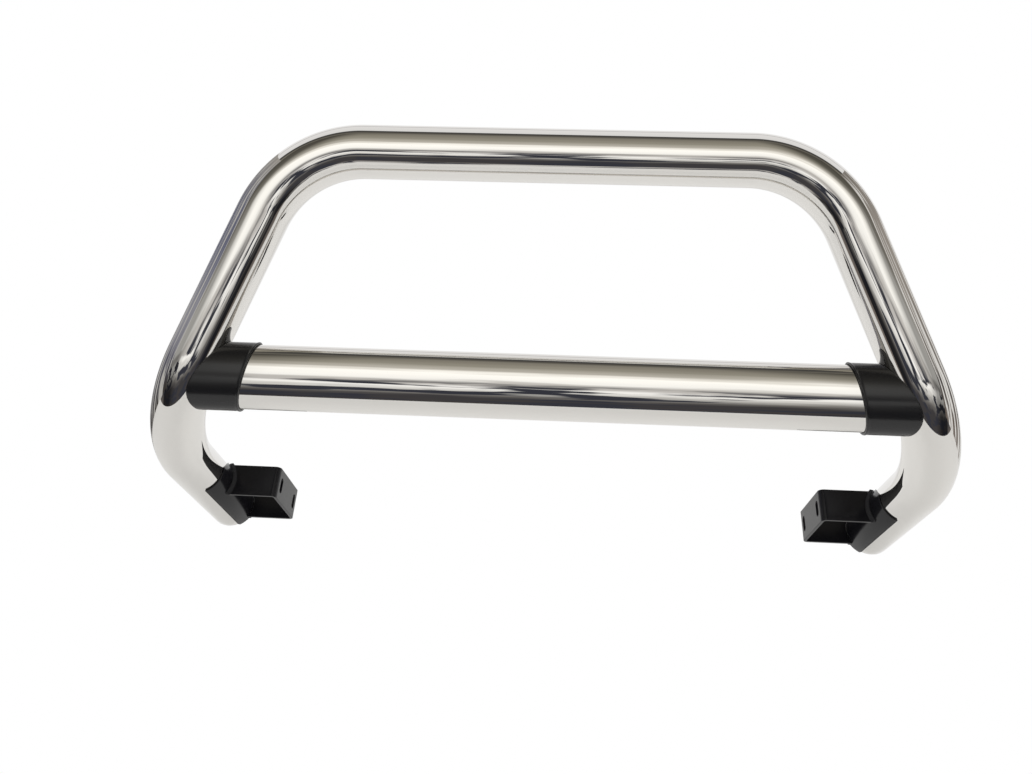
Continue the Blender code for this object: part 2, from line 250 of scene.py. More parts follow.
def new_look(name, colour, metallic, roughness):
    """A material and its shader. Returns the material, its node tree, its shader and its coordinates."""
    look = bpy.data.materials.new(name)
    look.use_nodes = True
    tree = look.node_tree
    shader = tree.nodes["Principled BSDF"]
    shader.inputs["Base Color"].default_value = (*colour, 1)
    shader.inputs["Metallic"].default_value = metallic
    shader.inputs["Roughness"].default_value = roughness
    return look, tree, shader, tree.nodes.new("ShaderNodeTexCoord")


# Mirror polish: hair-fine lines along the tube, patches a touch duller, and a slow swell left by the bending
polish, tree, shader, place = new_look("mirror_polished_stainless", (0.83, 0.815, 0.79), 1.0, 0.04)
along = add_node(tree, "ShaderNodeMapping", Vector=place.outputs["UV"], Scale=(900, 3, 1))
lines = add_node(tree, "ShaderNodeTexNoise", Vector=along.outputs["Vector"], Scale=1.0, Detail=3.0)
patches = add_node(tree, "ShaderNodeTexNoise", Vector=place.outputs["Object"], Scale=9.0, Detail=4.0)
both = add_node(tree, "ShaderNodeMath", {"operation": "MULTIPLY"})
tree.links.new(lines.outputs["Fac"], both.inputs[0])
tree.links.new(patches.outputs["Fac"], both.inputs[1])
dull = add_node(tree, "ShaderNodeMapRange", Value=both.outputs["Value"])
dull.inputs["From Min"].default_value = 0.1
dull.inputs["From Max"].default_value = 0.45
dull.inputs["To Min"].default_value = 0.015
dull.inputs["To Max"].default_value = 0.045
tree.links.new(dull.outputs["Result"], shader.inputs["Roughness"])
swell = add_node(tree, "ShaderNodeTexNoise", Vector=place.outputs["Object"], Scale=7.0, Detail=1.0)
swell_bump = add_node(tree, "ShaderNodeBump", Strength=0.15, Distance=0.0005, Height=swell.outputs["Fac"])
tree.links.new(swell_bump.outputs["Normal"], shader.inputs["Normal"])
finish(hoop, polish, "polished_tube", "hoop_tube")


# The crossbar is oval stainless tube, its ends coped to the round of the legs and welded to them all round.
# It has the hoop's polish. The weld stands in the gap between the coped end and the leg, under the collar.
bar_low, bar_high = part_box("crossbar_tube")
bar_depth, bar_height = (bar_low.y + bar_high.y) / 2, (bar_low.z + bar_high.z) / 2
half_depth, half_height = (bar_high.y - bar_low.y) / 2, (bar_high.z - bar_low.z) / 2
bar_wall = 0.002
bar_stand_off = 0.004  # from the leg's skin to the coped end
well_inside = 0.36  # short of the leg everywhere on the section
oval_turns = ring_angles(160)
right_leg = bent_line(np.stack([shoulder, elbow, foot_end]), (elbow_radius,), 0.001)[0]


def oval_section(growth):
    """Depth and height of points round the crossbar's section: an ellipse, grown by this much all round."""
    return (
        bar_depth + (half_depth + growth) * np.cos(oval_turns),
        bar_height + (half_height + growth) * np.sin(oval_turns),
    )


def coped_end(growth, clear):
    """How far out a line along X through each point of the section runs before it is this near the leg.

    The stretch between the guard's inside and the leg's middle is halved 30 times.
    """
    depth, height = oval_section(growth)
    near = np.full(depth.shape, well_inside)
    far = shoulder[0] + (rail_height - height) * np.tan(leg_splay)
    for _ in range(30):
        half = (near + far) / 2
        probe = np.stack([half, depth, height], axis=1)
        gap = np.linalg.norm(probe[:, None] - right_leg[None], axis=2).min(axis=1) - tube_radius
        near, far = np.where(gap > clear, half, near), np.where(gap > clear, far, half)
    return near


def bar_ring(growth, reach):
    """Points round the section at this reach along X, given for each point or for all."""
    depth, height = oval_section(growth)
    return np.stack([np.broadcast_to(reach, depth.shape), depth, height], axis=1)


bar_end = coped_end(0, bar_stand_off)
shares = np.linspace(-1, 1, 61)
skin = np.stack([bar_ring(0, bar_end * share) for share in shares])
bore = np.stack([bar_ring(-bar_wall, bar_end * share) for share in shares[::-1]])
half_length = 0.49
bar_travel = np.concatenate([shares, shares[::-1]]) * half_length
crossbar = mesh_of("crossbar", np.concatenate([skin, bore]), joined=True, lengthwise=bar_travel)
finish(crossbar, polish, "polished_tube", "crossbar_tube")

# Brushed weld metal, straw-coloured here and there from its heat, for the solids under the collars
weld_metal, tree, shader, place = new_look("brushed_weld", (0.42, 0.4, 0.38), 1.0, 0.45)
grain = add_node(tree, "ShaderNodeTexNoise", Vector=place.outputs["Object"], Scale=420.0, Detail=5.0)
heat = add_node(tree, "ShaderNodeValToRGB", Fac=grain.outputs["Fac"])
heat.color_ramp.elements[0].color = (0.30, 0.24, 0.2, 1)
heat.color_ramp.elements[1].color = (0.55, 0.53, 0.5, 1)
tree.links.new(heat.outputs["Color"], shader.inputs["Base Color"])
grain_bump = add_node(tree, "ShaderNodeBump", Strength=0.5, Distance=0.0002, Height=grain.outputs["Fac"])
tree.links.new(grain_bump.outputs["Normal"], shader.inputs["Normal"])
for side in ("left", "right"):
    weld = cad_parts[f"crossbar_weld_{side}"]
    weld.data.materials.clear()
    weld.data.materials.append(weld_metal)


# Each collar is a satin black plastic moulding that slides over the crossbar's end and hides the weld. Its
# mouth leans back with the leg and ends in a rolled lip, and its other end is shaped to sit on the leg.
mouth_x = 0.427
mouth_slant = np.tan(np.radians(13.5))
collar_wall = 0.0026
fit_gap = 0.0003
lip = 0.0007
leg_edge = 0.0011  # the round where the collar meets the leg

plastic, tree, shader, place = new_look("satin_black_plastic", (0.017, 0.017, 0.019), 0.0, 0.3)
grain = add_node(tree, "ShaderNodeTexNoise", Vector=place.outputs["Object"], Scale=1400.0, Detail=3.0)
rubs = add_node(tree, "ShaderNodeTexNoise", Vector=place.outputs["Object"], Scale=28.0, Detail=5.0)
shine = add_node(tree, "ShaderNodeMapRange", Value=rubs.outputs["Fac"])
shine.inputs["To Min"].default_value = 0.13
shine.inputs["To Max"].default_value = 0.22
tree.links.new(shine.outputs["Result"], shader.inputs["Roughness"])
grain_bump = add_node(tree, "ShaderNodeBump", Strength=0.12, Distance=0.00006, Height=grain.outputs["Fac"])
tree.links.new(grain_bump.outputs["Normal"], shader.inputs["Normal"])

# From inside the mouth, out round its lip, along to the leg, and back in under the rounded edge there
lip_turns = np.linspace(np.pi, 0, 9)
lip_out = fit_gap + (collar_wall + lip) / 2 * (1 + np.cos(lip_turns))
lip_along = 0.0012 * (1 - np.sin(lip_turns))
edge_turns = np.linspace(0, np.pi / 2, 6)[1:]
mouth_rows = [(fit_gap, 0.012), (fit_gap, 0.004)] + list(zip(lip_out, lip_along))
mouth_rows += [(fit_gap + collar_wall + lip * 0.9, 0.0022), (fit_gap + collar_wall + lip * 0.3, 0.0032)]
mouth_rows += [(fit_gap + collar_wall, 0.0042)]
edge_out = fit_gap + collar_wall - leg_edge * (1 - np.cos(edge_turns))
leg_rows = list(zip(edge_out, leg_edge * (1 - np.sin(edge_turns))))
leg_rows += [(fit_gap + 0.0006, 0.0), (fit_gap + 0.0006, 0.008)]
for side, way in (("left", -1), ("right", 1)):
    rings = []
    for out, in_from_mouth in mouth_rows:
        height = oval_section(out)[1]
        rings.append(bar_ring(out, mouth_x - (height - bar_height) * mouth_slant + in_from_mouth))
    skin_start, skin_end = rings[-1][:, 0], coped_end(fit_gap + collar_wall, fit_gap + leg_edge)
    for share in np.linspace(0, 1, 30)[1:]:
        rings.append(bar_ring(fit_gap + collar_wall, skin_start + (skin_end - skin_start) * share))
    for out, from_leg in leg_rows:
        rings.append(bar_ring(out, coped_end(out, fit_gap) - from_leg))
    collar = mesh_of(f"collar_{side}", np.stack(rings) * np.array([way, 1, 1]), joined=True)
    finish(collar, plastic, "collar_plastic", f"crossbar_collar_{side}")


# One zinc-plated pan-head screw goes through the back of each collar into the crossbar, so the collar can't
# slide. Its head has a cross recess.
zinc, tree, shader, place = new_look("zinc_plate", (0.66, 0.67, 0.69), 1.0, 0.28)
spangle = add_node(tree, "ShaderNodeTexNoise", Vector=place.outputs["Object"], Scale=900.0, Detail=4.0)
shine = add_node(tree, "ShaderNodeMapRange", Value=spangle.outputs["Fac"])
shine.inputs["To Min"].default_value = 0.2
shine.inputs["To Max"].default_value = 0.42
tree.links.new(shine.outputs["Result"], shader.inputs["Roughness"])

head_radius, head_height, shank_radius = 0.0045, 0.0024, 0.0019
head_edge = 0.0002
recess_depth, recess_half_width, recess_reach = 0.0013, 0.0005, 0.0030
for side in ("left", "right"):
    low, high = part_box(f"collar_screw_{side}")
    middle = np.array([(low.x + high.x) / 2, 0, (low.z + high.z) / 2])
    top, tip = high.y, low.y
    # The head's crown is a quarter ellipse. The recess is two crossed grooves that fade out towards its edge.
    crown = np.linspace(0, np.pi / 2, 16)[1:]
    shank_out, seat_out = [head_edge, shank_radius, shank_radius], [head_radius - head_edge, head_radius]
    radius = np.concatenate([shank_out, seat_out, head_radius * np.cos(crown)])
    radius[-1] = head_edge
    seat = top - head_height
    crown_back = seat + head_edge + (head_height - head_edge) * np.sin(crown)
    back = np.concatenate([[tip, tip + 0.002, seat], [seat, seat + head_edge], crown_back])
    turns = ring_angles(64)
    x, z = radius[:, None] * np.cos(turns), radius[:, None] * np.sin(turns)
    y = np.broadcast_to(back[:, None], x.shape).copy()
    groove = np.exp(-((np.minimum(np.abs(x), np.abs(z)) / recess_half_width) ** 4))
    groove *= np.clip((recess_reach - radius) / 0.0012, 0, 1)[:, None]
    y -= np.where(y > seat, recess_depth, 0) * groove
    screw = mesh_of(f"screw_{side}", np.stack([x, y, z], axis=2) + middle)
    finish(screw, zinc, "zinc_screw", f"collar_screw_{side}")


# A saddle of 2 mm sheet is rolled to the inner side of each foot and seam-welded along both long edges, so
# the bracket isn't welded to the polished tube itself. Its front upper corner is cut off at a slant. Saddle,
# bracket and welds are painted black together.
saddle_length, saddle_upper_length, sheet = 0.169, 0.130, 0.002
saddle_lower, saddle_slant, saddle_upper = np.radians([-62, 8, 47])
saddle_skin = tube_radius + fit_gap + sheet

paint, tree, shader, place = new_look("semi_gloss_black_paint", (0.008, 0.008, 0.0095), 0.0, 0.22)
shader.inputs["Specular IOR Level"].default_value = 0.27
peel = add_node(tree, "ShaderNodeTexNoise", Vector=place.outputs["Object"], Scale=520.0, Detail=2.0)
dust = add_node(tree, "ShaderNodeTexNoise", Vector=place.outputs["Object"], Scale=34.0, Detail=6.0)
shine = add_node(tree, "ShaderNodeMapRange", Value=dust.outputs["Fac"])
shine.inputs["To Min"].default_value = 0.16
shine.inputs["To Max"].default_value = 0.26
tree.links.new(shine.outputs["Result"], shader.inputs["Roughness"])
tint = add_node(tree, "ShaderNodeValToRGB", Fac=dust.outputs["Fac"])
tint.color_ramp.elements[0].color = (0.006, 0.006, 0.008, 1)
tint.color_ramp.elements[1].color = (0.010, 0.010, 0.012, 1)
tree.links.new(tint.outputs["Color"], shader.inputs["Base Color"])
peel_bump = add_node(tree, "ShaderNodeBump", Strength=0.25, Distance=0.00005, Height=peel.outputs["Fac"])
tree.links.new(peel_bump.outputs["Normal"], shader.inputs["Normal"])


def at_foot(points, way):
    """Turns foot measures into the guard's.

    The first is towards the guard's middle, the second up and square to the foot, the third out of its end.
    """
    axes = np.stack([np.array([-1.0, 0, 0]), foot_up, foot_way])
    return (points @ axes + foot_end) * np.array([way, 1, 1])


def saddle_rings(turns, drawn_in):
    """Rings round the sheet where half planes out from the foot's axis cut it, one for each turn about it.

    A ring is a rectangle, sheet by length, with quarter circles of the radius edge about centres that far
    inside its corners, and it is drawn in all round by taking drawn_in off that radius. The length falls in
    proportion to the turn past the start of the slant.
    """
    share = np.clip((turns - saddle_slant) / (saddle_upper - saddle_slant), 0, 1)
    length = saddle_length + (saddle_upper_length - saddle_length) * share
    quarter = np.linspace(0, np.pi / 2, 5)
    around = np.concatenate([quarter, quarter + np.pi / 2, quarter + np.pi, quarter + 3 * np.pi / 2])[None]
    corner_out, corner_along = np.repeat([[1, -1, -1, 1], [1, 1, -1, -1]], 5, axis=1)
    rounding = (edge - drawn_in)[:, None]
    out = saddle_skin - sheet / 2 + corner_out * (sheet / 2 - edge) + rounding * np.cos(around)
    along = -length[:, None] / 2 + corner_along * (length[:, None] / 2 - edge) + rounding * np.sin(around)
    return np.stack([out * np.cos(turns)[:, None], out * np.sin(turns)[:, None], along], axis=2)


edge = 0.0005
round_turns = np.linspace(0, np.pi / 2, 5)
end_draw = edge * (1 - np.cos(round_turns))
end_reach = edge / saddle_skin * (1 - np.sin(round_turns))
sweep = np.linspace(saddle_lower + edge / saddle_skin, saddle_upper - edge / saddle_skin, 73)
saddle_turns = np.concatenate([(saddle_lower + end_reach)[:0:-1], sweep, (saddle_upper - end_reach)[1:]])
saddle_draw = np.concatenate([end_draw[:0:-1], np.zeros(73), end_draw[1:]])
for side, way in (("left", -1), ("right", 1)):
    saddle = mesh_of(f"saddle_{side}", at_foot(saddle_rings(saddle_turns, saddle_draw), way))
    finish(saddle, paint, "black_paint", f"saddle_plate_{side}")


# The saddle's two seam welds are short-arc beads in the corner between the sheet's cut edge and the tube,
# with fine ripples where the wire was fed along.
def weld_bead(corner, first, second, size, ripple):
    """A bead in the corner between two faces, as rings of points round it.

    Its section is the corner and a curve from size along the first direction to size along the second, at
    cos^1.5 and sin^1.5 of a quarter turn. The size swells by 6% once each ripple, later at the middle of
    the curve than at its edges, and grows as the root of the distance over the first and last 2 mm.
    """
    steps = np.linalg.norm(np.diff(corner, axis=0), axis=1)
    travel = np.concatenate([[0], np.cumsum(steps)])[:, None]
    t = np.linspace(0, np.pi / 2, 13)[None]
    swell = 1 + 0.06 * np.cos(2 * np.pi * (travel / ripple - 0.3 * np.sin(2 * t)))
    taper = np.sqrt(np.clip(np.minimum(travel, travel[-1] - travel) / 0.002, 0.02, 1))
    reach = size * swell * taper
    out, up = reach * np.cos(t) ** 1.5, reach * np.abs(np.sin(t)) ** 1.5
    curve = corner[:, None] + out[..., None] * first[:, None] + up[..., None] * second[:, None]
    return np.concatenate([corner[:, None], curve], axis=1)


seam, seam_ripple = 0.0018, 0.0013
seam_inset = 0.0008  # where a bead starts and stops, in from the sheet's cut ends
seam_rings = 700
for edge_name, turn, onward, length in (
    ("lower", saddle_lower, -1, saddle_length),
    ("upper", saddle_upper, 1, saddle_upper_length),
):
    outward = np.array([np.cos(turn), np.sin(turn), 0])
    along = onward * np.array([-outward[1], outward[0], 0])
    seam_travel = np.linspace(-seam_inset, seam_inset - length, seam_rings)
    foot_line = seam_travel[:, None] * np.array([0, 0, 1.0])
    corner = (tube_radius + fit_gap) * outward + 0.0002 * along + foot_line
    firsts, seconds = np.tile(along, (seam_rings, 1)), np.tile(outward, (seam_rings, 1))
    bead = weld_bead(corner, firsts, seconds, seam, seam_ripple)
    for side, way in (("left", -1), ("right", 1)):
        seam_weld = mesh_of(f"seam_weld_{edge_name}_{side}", at_foot(bead, way))
        finish(seam_weld, paint, "black_paint", f"saddle_weld_{edge_name}_{side}")


# Each bracket is a channel bent from 5 mm plate. Its flat face bolts to the frame rail through two slots,
# which let the guard be set level, and its two webs are coped to sit on the saddle.
rail_face = 0.4403
bracket_face = foot_x - rail_face
plate = 0.005
bend_radius = 0.009
front_web, rear_web = -0.1229, -0.0053
bracket_bottom, bracket_top = -0.0231, 0.0286
slot_width, slot_length, slot_spacing = 0.011, 0.0255, 0.076


def slotted_panel(y_edges, z_edges, middle_z):
    """A flat panel on the bracket's face with a slot in it, in rings from its outline to the slot's.

    A ray from the slot's middle at an angle meets a side of the slot at w / |sin|, or else its round end at
    h |cos| + sqrt(w^2 - h^2 sin^2), where w is half its width and h half its straight length.
    """
    up_side, across_side = np.ones(len(z_edges) - 1), np.ones(len(y_edges) - 1)
    y = np.concatenate([y_edges[:-1], up_side * y_edges[-1], y_edges[:0:-1], up_side * y_edges[0]])
    z = np.concatenate([across_side * z_edges[0], z_edges[:-1], across_side * z_edges[-1], z_edges[:0:-1]])
    middle_y = (bracket_bottom + bracket_top) / 2
    angle = np.arctan2(z - middle_z, y - middle_y)
    w, h = slot_width / 2, (slot_length - slot_width) / 2
    cos, sin = np.abs(np.cos(angle)), np.abs(np.sin(angle))
    side = w / np.maximum(sin, 1e-9)
    end = h * cos + np.sqrt(np.maximum(w**2 - h**2 * sin**2, 0))
    reach = np.where(side * cos <= h, side, end)
    slot_y, slot_z = middle_y + reach * np.cos(angle), middle_z + reach * np.sin(angle)
    share = np.linspace(0, 1, 9)[:, None]
    rings = np.stack([y + (slot_y - y) * share, z + (slot_z - z) * share], axis=2)
    return np.concatenate([np.full(rings.shape[:2] + (1,), bracket_face), rings], axis=2)


def grid_faces(shape, wrapped, first):
    """Corner numbers of the quads of a grid of points, from this number up."""
    rows, columns = shape
    i, j = np.meshgrid(np.arange(rows - 1), np.arange(columns if wrapped else columns - 1), indexing="ij")
    j_next = (j + 1) % columns
    row, row_next = i * columns, (i + 1) * columns
    quads = np.stack([row + j, row + j_next, row_next + j_next, row_next + j])
    return quads.reshape(4, -1).T + first


columns, bend_rows = 25, 13
across = np.linspace(bracket_bottom, bracket_top, columns)
bend_x = bracket_face - bend_radius
face_start, face_end = front_web + bend_radius, rear_web - bend_radius
face_middle = (face_start + face_end) / 2
cope = np.sqrt((saddle_skin + fit_gap) ** 2 - across**2)[None]
web_shares = np.linspace(0, 1, 15)[:, None]
bend_turns = np.linspace(0, np.pi / 2, bend_rows)[:, None] * np.ones(columns)
web_x = cope + (bend_x - cope) * web_shares
bend_out, bend_over = bend_x + bend_radius * np.sin(bend_turns), bend_radius * (1 - np.cos(bend_turns))
grids = [
    (web_x, np.full(web_x.shape, front_web)),
    (bend_out, front_web + bend_over),
    (bend_out, rear_web - bend_over),
    (web_x, np.full(web_x.shape, rear_web)),
]
sheets = [(np.stack([x, np.broadcast_to(across, x.shape), z], axis=2), False) for x, z in grids]
for z_edges, slot_middle in (
    (np.linspace(face_start, face_middle, 21), face_middle - slot_spacing / 2),
    (np.linspace(face_middle, face_end, 21), face_middle + slot_spacing / 2),
):
    sheets.append((slotted_panel(across, z_edges, slot_middle), True))
sheet_points = np.concatenate([grid.reshape(-1, 3) for grid, _ in sheets])
firsts = np.cumsum([0] + [grid.shape[0] * grid.shape[1] for grid, _ in sheets])
sheet_faces = np.concatenate(
    [grid_faces(grid.shape[:2], wrapped, first) for (grid, wrapped), first in zip(sheets, firsts)]
)
for side, way in (("left", -1), ("right", 1)):
    mesh = bpy.data.meshes.new(f"bracket_{side}")
    mesh.from_pydata(at_foot(sheet_points, way).tolist(), [], sheet_faces.tolist())
    skin = bmesh.new()
    skin.from_mesh(mesh)
    bmesh.ops.remove_doubles(skin, verts=skin.verts, dist=1e-6)
    bmesh.ops.recalc_face_normals(skin, faces=skin.faces)
    on_face = [f for f in skin.faces if abs(f.calc_center_median().x - way * rail_face) < 1e-5]
    if sum(f.normal.x for f in on_face) * way > 0:
        bmesh.ops.reverse_faces(skin, faces=skin.faces)
    skin.to_mesh(mesh)
    skin.free()
    mesh.shade_smooth()
    bracket = bpy.data.objects.new(f"bracket_{side}", mesh)
    bpy.context.scene.collection.objects.link(bracket)
    wall = bracket.modifiers.new("plate", "SOLIDIFY")
    wall.thickness, wall.offset, wall.use_even_offset = plate, -1, True
    broken_edge = bracket.modifiers.new("broken_edge", "BEVEL")
    broken_edge.width, broken_edge.segments, broken_edge.limit_method = 0.0006, 3, "ANGLE"
    broken_edge.angle_limit, broken_edge.harden_normals = np.radians(40), True
    finish(bracket, paint, "black_paint", f"rail_bracket_{side}")


# A fillet weld holds each web to the saddle, on the web's outer side. The front one is the heavier, and its
# ripples are those of a hand-held torch.
front_fillet, rear_fillet, fillet_ripple = 0.0055, 0.0045, 0.0021
fillet_rings = 300
web_start, web_end = np.arcsin(bracket_bottom / saddle_skin), np.arcsin(bracket_top / saddle_skin)
web_turns = np.linspace(web_start, web_end, fillet_rings)
outward = np.stack([np.cos(web_turns), np.sin(web_turns), np.zeros(fillet_rings)], axis=1)
for end, web, step, size in (("front", front_web, -1, front_fillet), ("rear", rear_web, 1, rear_fillet)):
    along = np.tile(np.array([0, 0, step * 1.0]), (fillet_rings, 1))
    corner = (saddle_skin + fit_gap) * outward + (web + step * fit_gap) * np.array([0, 0, 1.0])
    bead = weld_bead(corner, along, outward, size, fillet_ripple)
    for side, way in (("left", -1), ("right", 1)):
        fillet = mesh_of(f"fillet_{end}_{side}", at_foot(bead, way))
        finish(fillet, paint, "black_paint", f"bracket_weld_{end}_{side}")


# A black rubber plug, moulded as a shallow cup, is pushed into the cut end of each foot. Its face stands just
# inside the tube and is dished a little.
plug_radius = tube_radius - tube_wall - 0.0005
rubber, tree, shader, place = new_look("black_rubber", (0.02, 0.02, 0.02), 0.0, 0.7)
bloom = add_node(tree, "ShaderNodeTexNoise", Vector=place.outputs["Object"], Scale=160.0, Detail=6.0)
tint = add_node(tree, "ShaderNodeValToRGB", Fac=bloom.outputs["Fac"])
tint.color_ramp.elements[0].color = (0.014, 0.014, 0.014, 1)
tint.color_ramp.elements[1].color = (0.034, 0.033, 0.032, 1)
tree.links.new(tint.outputs["Color"], shader.inputs["Base Color"])
pores = add_node(tree, "ShaderNodeBump", Strength=0.3, Distance=0.0001, Height=bloom.outputs["Fac"])
tree.links.new(pores.outputs["Normal"], shader.inputs["Normal"])
round_turns = np.linspace(0, np.pi / 2, 6)
plug_edge, plug_wall = 0.001, 0.0025
plug_face, plug_inside, plug_rim = -0.003, -0.0065, -0.021  # along the foot, from its cut end
# Out over the dished face, round its edge, along the side to the rim, and back up the inside
plug_out = np.concatenate([
    [0.001, 0.012, 0.024, 0.0272, 0.0284, plug_radius - plug_edge],
    plug_radius - plug_edge * (1 - np.sin(round_turns[1:])),
    [plug_radius, plug_radius - plug_wall, plug_radius - plug_wall, 0.001],
])
plug_back = np.concatenate([
    [-0.0042, -0.0041, -0.0038, -0.0036, plug_face, plug_face],
    plug_face - plug_edge * (1 - np.cos(round_turns[1:])),
    [plug_rim, plug_rim, plug_inside, plug_inside],
])
turns = ring_angles(96)[None]
spokes = np.stack([np.cos(turns), np.sin(turns), np.zeros(turns.shape)], axis=2)
plug_rings = plug_out[:, None, None] * spokes + plug_back[:, None, None] * np.array([0, 0, 1.0])
for side, way in (("left", -1), ("right", 1)):
    plug = mesh_of(f"plug_{side}", at_foot(plug_rings, way))
    finish(plug, rubber, "plug_rubber", f"foot_plug_{side}")


# The studio has a pale floor lit from beneath, a light ceiling and back, and a hall in front and at the sides
# that shows only in the polish: three cards that glow with soft uneven bands and that the camera can't see.
def flat_card(name, points):
    """Four corners as one face."""
    mesh = bpy.data.meshes.new(name)
    mesh.from_pydata(points, [], [(0, 1, 2, 3)])
    card = bpy.data.objects.new(name, mesh)
    bpy.context.scene.collection.objects.link(card)
    return card


def glowing(name, bands, stretch, shift, wobble, blotch, blotch_height, dim=1.0):
    """A card's light by height, from a list of (height, colour), shifted by stretched noise.

    Under blotch_height, the same noise turns patches of it to the blotch colour. From 1.1 m to 2.1 m either
    side of the middle, the light falls to this share of itself.
    """
    look, tree, _, place = new_look(name, (0, 0, 0), 0.0, 1.0)
    spot = place.outputs["Object"]
    split = add_node(tree, "ShaderNodeSeparateXYZ", Vector=spot)
    stretched = add_node(tree, "ShaderNodeMapping", Vector=spot, Scale=stretch, Location=shift)
    noise = add_node(tree, "ShaderNodeTexNoise", Vector=stretched.outputs["Vector"], Scale=1.0, Detail=4.0)
    low, high = bands[0][0], bands[-1][0]
    height = add_node(tree, "ShaderNodeMapRange", Value=split.outputs["Z"])
    height.inputs["From Min"].default_value, height.inputs["From Max"].default_value = low, high
    sway = add_node(tree, "ShaderNodeMath", {"operation": "MULTIPLY_ADD"})
    tree.links.new(noise.outputs["Fac"], sway.inputs[0])
    sway.inputs[1].default_value = wobble
    tree.links.new(height.outputs["Result"], sway.inputs[2])
    centred = add_node(tree, "ShaderNodeMath", {"operation": "SUBTRACT"})
    tree.links.new(sway.outputs["Value"], centred.inputs[0])
    centred.inputs[1].default_value = wobble / 2
    light = add_node(tree, "ShaderNodeValToRGB", Fac=centred.outputs["Value"])
    ramp = light.color_ramp
    ramp.elements[0].position, ramp.elements[1].position = 0, 1
    for place_up, _ in bands[1:-1]:
        ramp.elements.new((place_up - low) / (high - low))
    for element, (_, colour) in zip(ramp.elements, bands):
        element.color = (*colour, 1)
    patch = add_node(tree, "ShaderNodeMapRange", Value=noise.outputs["Fac"])
    patch.inputs["From Min"].default_value, patch.inputs["From Max"].default_value = 0.5, 0.56
    below = add_node(tree, "ShaderNodeMapRange", Value=split.outputs["Z"])
    below.inputs["From Min"].default_value = blotch_height
    below.inputs["From Max"].default_value = blotch_height - 0.4
    share = add_node(tree, "ShaderNodeMath", {"operation": "MULTIPLY"})
    tree.links.new(patch.outputs["Result"], share.inputs[0])
    tree.links.new(below.outputs["Result"], share.inputs[1])
    mixed = tree.nodes.new("ShaderNodeMix")
    mixed.data_type = "RGBA"
    tree.links.new(share.outputs["Value"], mixed.inputs["Factor"])
    tree.links.new(light.outputs["Color"], mixed.inputs[6])
    mixed.inputs[7].default_value = (*blotch, 1)
    aside = add_node(tree, "ShaderNodeMath", {"operation": "ABSOLUTE"})
    tree.links.new(split.outputs["X"], aside.inputs[0])
    falling = add_node(tree, "ShaderNodeMapRange", Value=aside.outputs["Value"])
    falling.inputs["From Min"].default_value, falling.inputs["From Max"].default_value = 1.1, 2.1
    falling.inputs["To Min"].default_value, falling.inputs["To Max"].default_value = 1.0, dim
    glow = add_node(tree, "ShaderNodeEmission", Strength=falling.outputs["Result"])
    tree.links.new(mixed.outputs[2], glow.inputs["Color"])
    tree.links.new(glow.outputs["Emission"], tree.nodes["Material Output"].inputs["Surface"])
    return look


floor_height = solid_low.z - 0.0008
floor = flat_card("floor", [(x, y, floor_height) for x, y in ((-3, -0.36), (3, -0.36), (3, 4), (-3, 4))])
floor_look, tree, shader, _ = new_look("pale_floor", (0.92, 0.92, 0.91), 0.0, 0.6)
from_below = add_node(tree, "ShaderNodeEmission", Color=(0.86, 0.855, 0.84, 1), Strength=1.0)
half_lit = add_node(tree, "ShaderNodeMixShader")
half_lit.inputs[0].default_value = 0.6
tree.links.new(shader.outputs["BSDF"], half_lit.inputs[1])
tree.links.new(from_below.outputs["Emission"], half_lit.inputs[2])
white = add_node(tree, "ShaderNodeEmission", Color=(1, 1, 1, 1), Strength=1.0)
ray = tree.nodes.new("ShaderNodeLightPath")
seen_floor = tree.nodes.new("ShaderNodeMixShader")
tree.links.new(ray.outputs["Is Camera Ray"], seen_floor.inputs[0])
tree.links.new(half_lit.outputs["Shader"], seen_floor.inputs[1])
tree.links.new(white.outputs["Emission"], seen_floor.inputs[2])
tree.links.new(seen_floor.outputs["Shader"], tree.nodes["Material Output"].inputs["Surface"])
floor.data.materials.append(floor_look)

# Each band is (height, colour)
front, front_low, front_high, half_width = rail_depth - 2.0, -3.4, 5.2, 4
front_bands = (
    (front_low, (0.75, 0.74, 0.72)), (-2.8, (0.5, 0.48, 0.46)), (-2.3, (0.06, 0.055, 0.055)),
    (-1.3, (0.055, 0.052, 0.055)), (-0.95, (0.2, 0.19, 0.18)), (-0.7, (0.5, 0.49, 0.47)),
    (-0.35, (1.1, 1.09, 1.06)), (-0.22, (1.0, 0.99, 0.97)), (-0.12, (0.6, 0.58, 0.56)),
    (0.14, (0.62, 0.60, 0.57)), (0.34, (1.1, 1.09, 1.05)), (0.9, (1.25, 1.23, 1.17)),
    (1.15, (0.95, 0.92, 0.85)), (1.5, (0.55, 0.52, 0.46)), (2.2, (0.34, 0.32, 0.265)),
    (3.4, (0.27, 0.25, 0.205)), (front_high, (0.22, 0.205, 0.17)),
)
front_glow = glowing(
    "hall_in_front", front_bands, (1.3, 1, 2.6), (1.3, 0, 0.4), 0.10, (0.04, 0.042, 0.055), 0.3, 0.32
)
card_corners = (
    (-half_width, front_low), (half_width, front_low), (half_width, front_high), (-half_width, front_high),
)
front_card = flat_card("front_card", [(x, front, z) for x, z in card_corners])
front_card.data.materials.append(front_glow)

